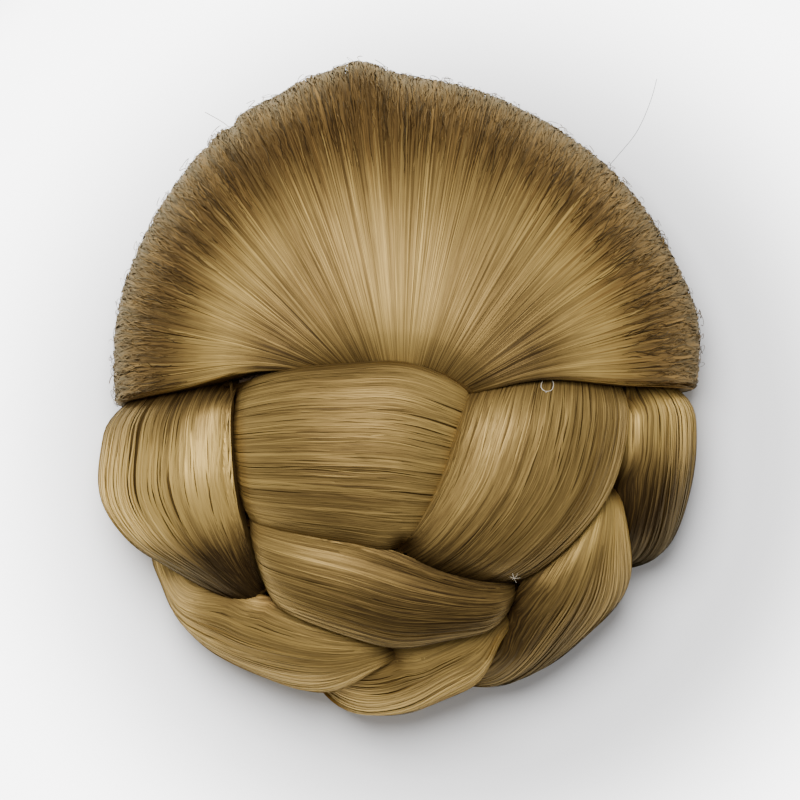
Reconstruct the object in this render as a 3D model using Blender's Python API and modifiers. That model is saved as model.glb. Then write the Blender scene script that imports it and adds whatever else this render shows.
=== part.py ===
"""A braided dome chignon: a clip-in hairpiece that covers the wearer's own bun.

Hair is fanned over the upper half of a hollow dome, gathered near the crown, and laid over the
lower half as a three-strand braid with a ring of rolled locks round its foot. The dome rests on
the flat hem of its foundation cap. Seen from above, +Y is towards the fan and +X is to the right.
Run it with blender --background --python part.py, or from Blender's text editor.
"""

import math
from collections import namedtuple

import bmesh
import bpy
from mathutils import Vector

MM = 0.001

# Driving sizes of the whole piece, in millimetres, from the dome's own axis
AXIS_X = 0.3
AXIS_Y = 1.4
HALF_WIDTH = 60.5
HALF_LENGTH = 66.5
HEIGHT = 52.0
WIDEST_Z = 14.0
HAIR_RISE = 6.0
HAIR_SEAT = 6.0
CAP_GAP = 0.6
CAP_WALL = 1.4
CAP_OUTER = -HAIR_SEAT - CAP_GAP
CAP_INNER = CAP_OUTER - CAP_WALL
PRESS_GAP = 0.45
WELD = 0.02
CREASE_DEG = 50.0

# The hair's middle layer is an ellipsoid, and every lock rides on it
MID_X = HALF_WIDTH - HAIR_RISE
MID_Y = HALF_LENGTH - HAIR_RISE
MID_Z = HEIGHT - HAIR_RISE - WIDEST_Z
CAP_STRETCH = (MID_Y + CAP_OUTER) / (MID_X + CAP_OUTER)

# A lock's mesh: stations along it, and steps across it
LOCK_STATIONS = 17
LOCK_STEPS = 9
CROWN_POWER = 2.3
BELLY_POWER = 4.0
END_POWER = 12.0

# The fan: its mesh, its rim and how its hairs gather
FAN_STEPS = 44
FAN_STATIONS = 12
FAN_LEFT_DEG = 184.5
FAN_RIGHT_DEG = -1.5
FAN_TUCK_DEG = 23.0
FAN_AIM = (0.0, 9.0)
FAN_AIM_SHARE = 0.5
FAN_RIM_SHARE = 0.10
FAN_DIP_START = 0.62
FAN_DIP = 5.0
FAN_SIDE_POWER = 26.0
FAN_TAIL_POWER = 12.0

# The foundation cap and its flat hem
CAP_STEPS = 40
CAP_RINGS = 10
CAP_END_DEG = 118.0
HEM_WIDTH = 5.0
HEM_THICK = 1.3

# The combs that grip the wearer's hair
COMB_HALF_WIDTH = 17.0
COMB_SPINE = 3.5
COMB_TOOTH_LENGTH = 13.0
COMB_TOOTH_WIDTH = 1.5
COMB_TEETH = 9
COMB_THICK = 1.2
COMB_Z = 5.4
COMB_WALL_GAP = 0.35
COMB_BACK_STEPS = 12

HAIR_COLOUR = (0.42, 0.28, 0.12, 1.0)
CAP_COLOUR = (0.20, 0.13, 0.07, 1.0)
COMB_COLOUR = (0.10, 0.055, 0.03, 1.0)

# One section of a lock, seen from above: its left and right edges in millimetres, how far the
# right edge wraps below the dome's widest line in degrees (0 where it doesn't), the edges' level
# over the middle layer, and how far the lock's back stands over its edges.
Section = namedtuple("Section", "left_x left_y right_x right_y tuck edge crown")

BRAID_LOCK_1 = [
    Section(-42.0, -3.0, -40.0, -25.5, 0, -4.0, 3.0),
    Section(-33.5, 0.0, -32.0, -27.5, 0, -3.0, 5.0),
    Section(-22.5, 3.5, -20.5, -31.0, 0, 0.0, 6.5),
    Section(-11.0, 4.5, -11.0, -32.5, 0, 0.5, 7.0),
    Section(0.0, 5.0, -2.5, -34.0, 0, 0.5, 6.5),
    Section(9.0, 2.0, 6.0, -34.5, 0, 0.0, 5.0),
    Section(17.5, -3.0, 14.5, -32.5, 0, -2.0, 4.0),
    Section(22.5, -9.0, 20.5, -27.5, 0, -4.0, 2.0),
]
BRAID_LOCK_2 = [
    Section(20.5, 6.5, 45.0, 7.0, 0, -2.0, 4.0),
    Section(14.0, -1.0, 45.8, -1.0, 0, 0.0, 5.5),
    Section(10.5, -9.5, 44.8, -11.0, 0, 0.5, 7.0),
    Section(7.5, -18.0, 41.5, -21.0, 0, 0.5, 7.5),
    Section(2.5, -26.5, 34.5, -30.5, 0, 0.0, 7.0),
    Section(-3.5, -33.5, 25.5, -38.0, 0, -1.5, 5.0),
    Section(-6.5, -38.0, 17.5, -43.0, 0, -4.0, 3.0),
]
BRAID_LOCK_3 = [
    Section(-33.0, -23.5, -25.5, -42.0, 0, -4.0, 3.0),
    Section(-29.5, -26.0, -23.0, -44.0, 0, -2.0, 5.0),
    Section(-20.5, -28.5, -18.5, -46.0, 0, -0.5, 7.0),
    Section(-10.0, -30.5, -9.0, -49.5, 0, 0.0, 7.5),
    Section(-1.0, -33.5, 0.0, -51.5, 0, 0.0, 7.5),
    Section(8.0, -37.0, 8.5, -50.0, 0, 0.0, 7.0),
    Section(15.5, -39.0, 15.5, -48.5, 0, -0.5, 6.0),
    Section(20.5, -39.5, 19.5, -47.0, 0, -1.0, 4.5),
    Section(24.5, -39.7, 22.5, -44.5, 0, -3.0, 2.5),
]
BRAID_LOCK_4 = [
    Section(38.5, -15.5, 42.0, -17.0, 0, -4.0, 3.0),
    Section(37.5, -22.5, 42.8, -22.0, 0, -2.5, 5.0),
    Section(32.5, -30.5, 44.0, -30.0, 0, -1.5, 6.5),
    Section(26.0, -37.5, 45.5, -40.0, 10, -1.0, 7.0),
    Section(21.5, -44.5, 40.5, -47.5, 21, -1.0, 6.5),
    Section(17.5, -52.0, 32.5, -54.0, 22, -1.5, 7.0),
    Section(12.5, -56.0, 23.5, -59.0, 22, -2.5, 7.0),
    Section(6.0, -58.0, 12.0, -61.5, 18, -4.0, 5.0),
]
BRAID_LOCK_5 = [
    Section(-23.5, -56.0, -23.5, -62.0, 14, -4.0, 4.0),
    Section(-17.5, -56.5, -17.5, -63.5, 20, -2.0, 7.0),
    Section(-9.0, -54.5, -10.0, -66.5, 23, -1.0, 8.0),
    Section(1.0, -51.0, 0.0, -67.0, 21, -0.5, 7.0),
    Section(9.5, -49.0, 7.5, -63.0, 4, -0.5, 5.5),
    Section(15.0, -47.5, 14.0, -57.5, 0, -0.5, 5.5),
    Section(19.0, -46.5, 18.3, -51.5, 0, -0.5, 4.5),
    Section(21.8, -45.3, 21.2, -48.2, 0, -2.0, 3.0),
]
LOWER_LOCK_LEFT = [
    Section(-54.0, -25.5, -57.5, -26.5, 12, -4.0, 5.0),
    Section(-50.0, -32.5, -51.0, -36.5, 20, -2.0, 8.0),
    Section(-43.0, -37.0, -47.0, -45.5, 22, -1.0, 9.0),
    Section(-33.5, -40.5, -39.0, -54.5, 23, -0.5, 9.0),
    Section(-23.5, -43.5, -27.5, -60.5, 21, -1.0, 7.5),
    Section(-13.5, -47.0, -15.5, -60.0, 6, -1.0, 6.5),
    Section(-5.0, -49.8, -6.0, -55.5, 0, -1.5, 5.5),
    Section(0.8, -51.0, 0.3, -52.5, 0, -3.0, 3.5),
]
SIDE_LOCK_LEFT = [
    Section(-35.0, 6.5, -57.5, 5.5, 16, -3.0, 4.0),
    Section(-34.0, -0.5, -59.0, -3.0, 21, -1.5, 6.0),
    Section(-34.0, -9.0, -60.5, -11.0, 23, -1.0, 8.5),
    Section(-33.5, -18.0, -60.5, -21.0, 23, -0.5, 11.0),
    Section(-32.0, -26.5, -56.0, -29.5, 16, -1.0, 9.5),
    Section(-30.0, -33.5, -46.5, -32.5, 0, -1.5, 7.0),
    Section(-28.5, -38.0, -38.5, -38.0, 0, -2.0, 5.0),
    Section(-26.0, -42.5, -31.0, -42.5, 0, -3.0, 3.0),
]
SIDE_LOCK_RIGHT = [
    Section(44.0, 5.5, 60.0, 5.5, 16, -3.0, 4.0),
    Section(44.5, -1.0, 59.5, -1.0, 21, -1.5, 6.5),
    Section(43.5, -11.0, 60.0, -11.0, 23, -1.5, 8.5),
    Section(42.5, -21.0, 59.0, -21.0, 23, -1.5, 9.5),
    Section(42.5, -29.5, 56.0, -30.5, 22, -1.5, 9.5),
    Section(43.0, -36.5, 51.0, -37.5, 20, -2.0, 7.0),
    Section(43.5, -42.0, 46.0, -43.0, 16, -3.0, 5.0),
    Section(42.0, -46.0, 43.5, -46.5, 8, -4.0, 3.0),
]
# Where the fan's hairs meet and go under the braid, from its left to its right, in millimetres
FAN_GATHER = [(-14.0, 2.5), (-7.5, -0.5), (0.0, -1.5), (7.0, -2.5), (12.5, -3.0)]
# How far the fan's rim stands over the middle layer, from its left to its right, in millimetres
FAN_RIM_RISE = [3.0, 4.3, 4.0, 4.8, 5.8, 2.8, 0.2, 2.0, 4.6, 6.4, 6.2]

LOCKS = {
    "braid_lock_1": BRAID_LOCK_1,
    "braid_lock_2": BRAID_LOCK_2,
    "braid_lock_3": BRAID_LOCK_3,
    "braid_lock_4": BRAID_LOCK_4,
    "braid_lock_5": BRAID_LOCK_5,
    "lower_lock_left": LOWER_LOCK_LEFT,
    "side_lock_left": SIDE_LOCK_LEFT,
    "side_lock_right": SIDE_LOCK_RIGHT,
}
# Which pieces lie over each piece and press into it
PRESSED_BY = {
    "crown_fan": ["braid_lock_1"],
    "braid_lock_1": ["braid_lock_2", "braid_lock_3", "side_lock_left"],
    "braid_lock_2": ["crown_fan", "braid_lock_3"],
    "braid_lock_3": ["braid_lock_4"],
    "braid_lock_4": ["braid_lock_2", "braid_lock_5"],
    "braid_lock_5": ["braid_lock_3", "lower_lock_left"],
    "lower_lock_left": ["braid_lock_3", "side_lock_left"],
    "side_lock_left": ["crown_fan", "braid_lock_3"],
    "side_lock_right": ["crown_fan", "braid_lock_2", "braid_lock_4"],
}


def clear_scene():
    """Removes the objects that the file opened with."""
    for item in list(bpy.data.objects):
        bpy.data.objects.remove(item)


def new_collection(name):
    """A collection of the scene's own."""
    group = bpy.data.collections.new(name)
    bpy.context.scene.collection.children.link(group)
    return group


def material(name, colour, roughness):
    """A Principled material of one colour."""
    made = bpy.data.materials.new(name)
    made.use_nodes = True
    shader = made.node_tree.nodes["Principled BSDF"]
    shader.inputs["Base Color"].default_value = colour
    shader.inputs["Roughness"].default_value = roughness
    shader.inputs["Metallic"].default_value = 0.0
    return made


def add_object(name, shape, group, axis, finish=None):
    """Puts a mesh or a curve in a collection as an object on the dome's axis, with its material."""
    item = bpy.data.objects.new(name, shape)
    item.parent = axis
    group.objects.link(item)
    if finish is not None:
        shape.materials.append(finish)
    return item


# The dome. A place on it is a vector from the crown, as on a map of a globe seen over its pole:
# its length is the angle down from the crown in radians, and its heading is the compass angle.


def place_seen_at(x, y, level, tuck=0.0):
    """The place where this level shows at x, y from above, or below its widest line by tuck."""
    flat = Vector((x / (MID_X + level), y / (MID_Y + level)))
    down = math.radians(90.0 + tuck) if tuck else math.asin(min(flat.length, 1.0))
    return flat.normalized() * down


def on_dome(place, level):
    """The point at this level over the middle layer, in metres."""
    down = place.length
    heading = place.normalized() if down > 1e-9 else Vector((1.0, 0.0))
    ball = Vector((heading.x * math.sin(down), heading.y * math.sin(down), math.cos(down)))
    outward = Vector((ball.x / MID_X, ball.y / MID_Y, ball.z / MID_Z)).normalized()
    layer = Vector((ball.x * MID_X, ball.y * MID_Y, ball.z * MID_Z + WIDEST_Z))
    return (layer + outward * level) * MM


def smooth_value(values, share):
    """A Catmull-Rom curve through the values, read at a share from 0 to 1."""
    place = share * (len(values) - 1)
    index = min(int(place), len(values) - 2)
    t = place - index
    before = values[max(index - 1, 0)]
    start = values[index]
    end = values[index + 1]
    after = values[min(index + 2, len(values) - 1)]
    slope_in = (end - before) * 0.5
    slope_out = (after - start) * 0.5
    return (
        start * (2 * t**3 - 3 * t**2 + 1)
        + slope_in * (t**3 - 2 * t**2 + t)
        + end * (3 * t**2 - 2 * t**3)
        + slope_out * (t**3 - t**2)
    )


def arch(across, power):
    """A rounded profile: 1 in the middle, at 0, and 0 at both edges, at -1 and 1."""
    return max(0.0, 1.0 - abs(across) ** power) ** (1.0 / power)


def pillow_mesh(name, columns, rows, upper, lower):
    """A closed body between two surfaces that meet along their borders.

    upper and lower give a point for two shares from 0 to 1.
    """
    body = bmesh.new()
    for surface, faces_up in ((upper, True), (lower, False)):
        made = bmesh.ops.create_grid(body, x_segments=columns, y_segments=rows, size=0.5)
        for vertex in made["verts"]:
            vertex.co = surface(vertex.co.x + 0.5, vertex.co.y + 0.5)
        faces = list({face for vertex in made["verts"] for face in vertex.link_faces})
        if not faces_up:
            bmesh.ops.reverse_faces(body, faces=faces)
    bmesh.ops.remove_doubles(body, verts=body.verts, dist=WELD * MM)
    bmesh.ops.dissolve_degenerate(body, edges=body.edges, dist=WELD * MM)
    bmesh.ops.recalc_face_normals(body, faces=body.faces)
    mesh = bpy.data.meshes.new(name)
    body.to_mesh(mesh)
    body.free()
    return mesh


def lock_mesh(name, sections):
    """A lock of hair: a strip of the dome between two edges, arched above and seated below."""
    left = [place_seen_at(s.left_x, s.left_y, s.edge) for s in sections]
    right = [place_seen_at(s.right_x, s.right_y, s.edge, s.tuck) for s in sections]
    edges = [s.edge for s in sections]
    crowns = [s.crown for s in sections]

    def point(along, across, raised):
        across = -math.cos(math.pi * across)
        share = (across + 1.0) / 2.0
        place = smooth_value(left, along).lerp(smooth_value(right, along), share)
        edge = smooth_value(edges, along)
        end = arch(2.0 * along - 1.0, END_POWER)
        if raised:
            level = edge + smooth_value(crowns, along) * arch(across, CROWN_POWER) * end
        else:
            level = edge - (edge + HAIR_SEAT) * arch(across, BELLY_POWER) * end
        return on_dome(place, level)

    return pillow_mesh(
        name,
        LOCK_STATIONS,
        LOCK_STEPS,
        lambda along, across: point(along, across, True),
        lambda along, across: point(along, across, False),
    )


def fan_place(turn, along):
    """Where a hair of the fan lies: turn runs round the rim, along runs from rim to gather."""
    compass = math.radians(FAN_LEFT_DEG + (FAN_RIGHT_DEG - FAN_LEFT_DEG) * turn)
    down = math.radians(90.0 + FAN_TUCK_DEG)
    rim = Vector((math.cos(compass), math.sin(compass))) * down
    aim = rim.lerp(place_seen_at(*FAN_AIM, HAIR_RISE), FAN_AIM_SHARE)
    gather = smooth_value([place_seen_at(*spot, HAIR_RISE) for spot in FAN_GATHER], turn)
    return rim.lerp(aim, along).lerp(aim.lerp(gather, along), along)


def fan_mesh(name):
    """The fan: hair swept from the rim over the dome to where the braid takes it up."""

    def point(turn, along, raised):
        turn = 0.5 - 0.5 * math.cos(math.pi * turn)
        side = arch(2.0 * turn - 1.0, FAN_SIDE_POWER)
        rim_share = min(along / FAN_RIM_SHARE, 1.0) - 1.0
        dip_share = max(0.0, (along - FAN_DIP_START) / (1.0 - FAN_DIP_START))
        edge = -FAN_DIP * dip_share**2
        rim_rise = smooth_value(FAN_RIM_RISE, turn)
        rise = rim_rise + (HAIR_RISE - rim_rise) * along
        body = side * arch(rim_share, CROWN_POWER) * arch(along, FAN_TAIL_POWER)
        if raised:
            level = edge + rise * body
        else:
            level = edge - (edge + HAIR_SEAT) * body
        return on_dome(fan_place(turn, along), level)

    return pillow_mesh(
        name,
        FAN_STEPS,
        FAN_STATIONS,
        lambda turn, along: point(turn, along, True),
        lambda turn, along: point(turn, along, False),
    )


def press_cutter(name, mesh, group, axis):
    """A copy of a piece, a little larger, that hollows the pieces below it."""
    cutter = add_object(name + "_press", mesh.copy(), group, axis)
    swell = cutter.modifiers.new("swell", "DISPLACE")
    swell.direction = "NORMAL"
    swell.mid_level = 0.0
    swell.strength = PRESS_GAP * MM
    cutter.hide_render = True
    cutter.display_type = "WIRE"
    return cutter


def keep_largest_body(mesh):
    """Removes the offcuts that a cut leaves beside the main body."""
    body = bmesh.new()
    body.from_mesh(mesh)
    waiting = set(body.verts)
    bodies = []
    while waiting:
        group = {waiting.pop()}
        front = list(group)
        while front:
            vertex = front.pop()
            for edge in vertex.link_edges:
                other = edge.other_vert(vertex)
                if other not in group:
                    group.add(other)
                    front.append(other)
        waiting -= group
        bodies.append(group)
    bodies.sort(key=len, reverse=True)
    for group in bodies[1:]:
        bmesh.ops.delete(body, geom=list(group), context="VERTS")
    bmesh.ops.dissolve_degenerate(body, edges=body.edges, dist=WELD * MM)
    bmesh.ops.triangulate(body, faces=body.faces)
    body.to_mesh(mesh)
    body.free()


def pressed(item, cutters):
    """Cuts the cutters from the item for good, and keeps its main body."""
    for cutter in cutters:
        cut = item.modifiers.new(cutter.name, "BOOLEAN")
        cut.operation = "DIFFERENCE"
        cut.object = cutter
    graph = bpy.context.evaluated_depsgraph_get()
    whole = item.data
    item.data = bpy.data.meshes.new_from_object(item.evaluated_get(graph))
    item.modifiers.clear()
    bpy.data.meshes.remove(whole)
    keep_largest_body(item.data)


def shade_round(item):
    """Smooth shading, with creases kept sharp."""
    item.data.shade_smooth()
    item.data.set_sharp_from_angle(angle=math.radians(CREASE_DEG))


def cap_radius(down, level):
    """Radius and height of the cap's wall, in its X plane, at this angle from the crown."""
    point = on_dome(Vector((down, 0.0)), level)
    return point.x, point.z


def foundation_cap(group, axis, finish):
    """The net cap that carries the hair: a thin dome that ends in a flat hem."""
    downs = [math.radians(CAP_END_DEG) * ring / CAP_RINGS for ring in range(CAP_RINGS + 1)]
    outer = [cap_radius(down, CAP_OUTER) for down in downs]
    inner = [cap_radius(down, CAP_INNER) for down in downs]
    hem_outer = outer[-1][0]
    hem_wall = inner[-1][0]
    hem_inner = hem_wall - HEM_WIDTH * MM
    hem_top = HEM_THICK * MM
    hem = [(hem_outer, 0.0), (hem_inner, 0.0), (hem_inner, hem_top), (hem_wall, hem_top)]
    profile = outer + hem + inner[::-1]
    mesh = bpy.data.meshes.new("foundation_cap")
    steps = [(index, index + 1) for index in range(len(profile) - 1)]
    mesh.from_pydata([(radius, 0.0, height) for radius, height in profile], steps, [])
    item = add_object("foundation_cap", mesh, group, axis, finish)
    turn = item.modifiers.new("turn", "SCREW")
    turn.steps = CAP_STEPS
    turn.render_steps = CAP_STEPS
    turn.use_merge_vertices = True
    turn.merge_threshold = 0.0001
    item.scale.y = CAP_STRETCH
    return item


def comb_outline():
    """A comb's flat outline: a spine curved like the cap's wall, and teeth that point inwards."""
    wall_x, _ = cap_radius(math.radians(CAP_END_DEG), CAP_INNER)
    wall_y = wall_x * CAP_STRETCH
    half = COMB_HALF_WIDTH * MM
    gap = COMB_WALL_GAP * MM

    def wall(x):
        return wall_y * math.sqrt(1.0 - (x / wall_x) ** 2) - gap

    shares = [step / COMB_BACK_STEPS for step in range(COMB_BACK_STEPS + 1)]
    outline = [Vector((x, wall(x))) for x in (half * (2.0 * share - 1.0) for share in shares)]
    spine_inner = wall(half) - COMB_SPINE * MM
    tip = spine_inner - COMB_TOOTH_LENGTH * MM
    width = COMB_TOOTH_WIDTH * MM
    pitch = (2.0 * half - width) / (COMB_TEETH - 1)
    for tooth in reversed(range(COMB_TEETH)):
        middle = -half + width / 2.0 + pitch * tooth
        outline += [
            Vector((middle + width / 2.0, spine_inner)),
            Vector((middle + width / 4.0, tip)),
            Vector((middle - width / 4.0, tip)),
            Vector((middle - width / 2.0, spine_inner)),
        ]
    return outline


def comb(name, heading, group, axis, finish):
    """One plain comb, flat in the cap's mouth. heading is 1 at the fan's side and -1 opposite."""
    curve = bpy.data.curves.new(name, "CURVE")
    curve.dimensions = "2D"
    curve.fill_mode = "BOTH"
    curve.extrude = COMB_THICK * MM / 2.0
    outline = comb_outline()
    spline = curve.splines.new("POLY")
    spline.points.add(len(outline) - 1)
    for point, spot in zip(spline.points, outline):
        point.co = (spot.x, spot.y, 0.0, 1.0)
    spline.use_cyclic_u = True
    item = add_object(name, curve, group, axis, finish)
    item.location.z = COMB_Z * MM
    item.rotation_euler.z = 0.0 if heading > 0 else math.pi
    return item


def build():
    """Makes every piece of the hairpiece."""
    clear_scene()
    parts = new_collection("braided_chignon")
    cutters = new_collection("press_cutters")
    axis = bpy.data.objects.new("dome_axis", None)
    axis.location = (AXIS_X * MM, AXIS_Y * MM, 0.0)
    parts.objects.link(axis)
    hair = material("hair", HAIR_COLOUR, 0.4)
    net = material("cap_net", CAP_COLOUR, 0.9)
    plastic = material("comb_plastic", COMB_COLOUR, 0.35)

    meshes = {name: lock_mesh(name, sections) for name, sections in LOCKS.items()}
    meshes["crown_fan"] = fan_mesh("crown_fan")
    presses = {name: press_cutter(name, mesh, cutters, axis) for name, mesh in meshes.items()}
    for name, mesh in meshes.items():
        item = add_object(name, mesh, parts, axis, hair)
        pressed(item, [presses[over] for over in PRESSED_BY[name]])
        shade_round(item)

    foundation_cap(parts, axis, net)
    comb("comb_upper", 1, parts, axis, plastic)
    comb("comb_lower", -1, parts, axis, plastic)


build()
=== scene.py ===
"""The looks of a braided dome chignon: its hair, its net cap, its combs and its loose threads.

Each lock is a firm core with hair laid over it. A hair is a thin flat strip that follows its lock
from the root to the tip, turned a little to one side, and it dips where another lock lies over
it. Sizes are in millimetres until a point is placed, and the frame is in metres.
"""

import math
from collections import namedtuple
from types import SimpleNamespace

import bmesh
import bpy
import numpy as np
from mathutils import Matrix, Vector


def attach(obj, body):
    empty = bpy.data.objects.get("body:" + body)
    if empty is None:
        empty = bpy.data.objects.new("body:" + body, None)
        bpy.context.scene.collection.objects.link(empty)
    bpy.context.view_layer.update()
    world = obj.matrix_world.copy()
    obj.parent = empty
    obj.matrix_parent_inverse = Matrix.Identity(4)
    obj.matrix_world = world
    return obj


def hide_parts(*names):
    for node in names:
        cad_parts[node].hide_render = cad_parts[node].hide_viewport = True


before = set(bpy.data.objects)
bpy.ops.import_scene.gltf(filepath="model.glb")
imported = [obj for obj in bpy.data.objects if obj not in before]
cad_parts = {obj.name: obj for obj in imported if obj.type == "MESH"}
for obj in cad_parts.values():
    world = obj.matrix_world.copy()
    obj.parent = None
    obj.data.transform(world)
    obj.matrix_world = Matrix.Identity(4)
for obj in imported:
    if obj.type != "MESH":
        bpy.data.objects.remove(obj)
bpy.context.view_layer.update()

MM = 0.001
SEED = 20240

# The dome that the hair lies on, as in the part's source
AXIS = np.array((0.3, 1.4, 0.0))
WIDEST_Z = 14.0
HAIR_RISE = 6.0
HAIR_SEAT = 6.0
MID_AXES = np.array((54.5, 60.5, 32.0))
CROWN_POWER = 2.3
BELLY_POWER = 4.0
END_POWER = 12.0

# The fan of hair over the upper half
FAN_LEFT_DEG = 184.5
FAN_RIGHT_DEG = -1.5
FAN_TUCK_DEG = 23.0
FAN_AIM = (0.0, 9.0)
FAN_AIM_SHARE = 0.5
FAN_RIM_SHARE = 0.10
FAN_DIP_START = 0.62
FAN_DIP = 5.0
FAN_SIDE_POWER = 26.0
FAN_TAIL_POWER = 12.0
FAN_BOW = 1.75
FAN_BOW_AT = 0.80
FAN_BOW_REACH = 0.15
FAN_BOW_POWER = 6
FAN_GATHER = [(-14.0, 2.5), (-7.5, -0.5), (0.0, -1.5), (7.0, -2.5), (12.5, -3.0)]
FAN_RIM_RISE = [3.0, 4.3, 4.0, 4.8, 5.8, 2.8, 0.2, 2.0, 4.6, 6.4, 6.2]

# Millimetres of the dome's surface for each radian down from its crown, roughly
CHART_MM = 48.0

# How a piece gives way under its neighbours. Hair pressed between the two depths given below is
# painted darker as shade in its crevice, from fully lit to the darkest painted shade
PRESS_REACH = 6.5
PRESS_LIMIT = 8.0
SHADE_PRESS = (0.5, 4.0)
DARKEST_SHADE = 0.9

# The core under a lock's hair: how far below it lies, its least thickness in a hollow, its look.
# Its colour is painted with shade, as it shows only in gaps between strips, and more so where
# pressed
CORE_DROP = 0.45
CORE_LEAST = 0.3
CORE_TONE = 0.3
CORE_UNSHADED = 0.6
CORE_FLOW = (20.0, 60.0)
CORE_COLUMNS = 44
CORE_ROWS = 28
FAN_CORE_ROWS = 96
WELD_MM = 0.02

# A strip of hair: the height above the floor that its middle is eased up to, how far apart two
# strips' streaks are, how near a border it may come, how it rolls, and how it fades along its way
LEAST_HEIGHT = 0.35
EASE_HEIGHT = 0.15
STREAK_STEP = 7.3
SIDE_LIMIT = 0.999
LEAST_ALONG = 0.01
ROLL_SPREAD = 0.10
FADE = 0.06
FADE_PACE = (4.0, 12.0)
TONE_MIDDLE = 0.5
TONE_SPREAD = 0.08
UNDER_LIFT = (0.05, 0.3)
LOOSE_THINNER = 0.66
TURN = 6.3
TINY = 1e-9

# A form's curves are read from this many steps, with bends softened over this share of a section
FORM_STEPS = 400
FORM_SOFTENING = 0.5
OUTLINE_STEPS = 41
SIDE_STEP = 0.01

# The photograph shows 163.3 mm of width, with the dome's axis 2.9 mm above its middle
CAMERA_HEIGHT = 2.5
VIEW_WIDTH = 0.1633
VIEW_SHIFT = -2.86

Section = namedtuple("Section", "left_x left_y right_x right_y tuck edge crown")

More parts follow.
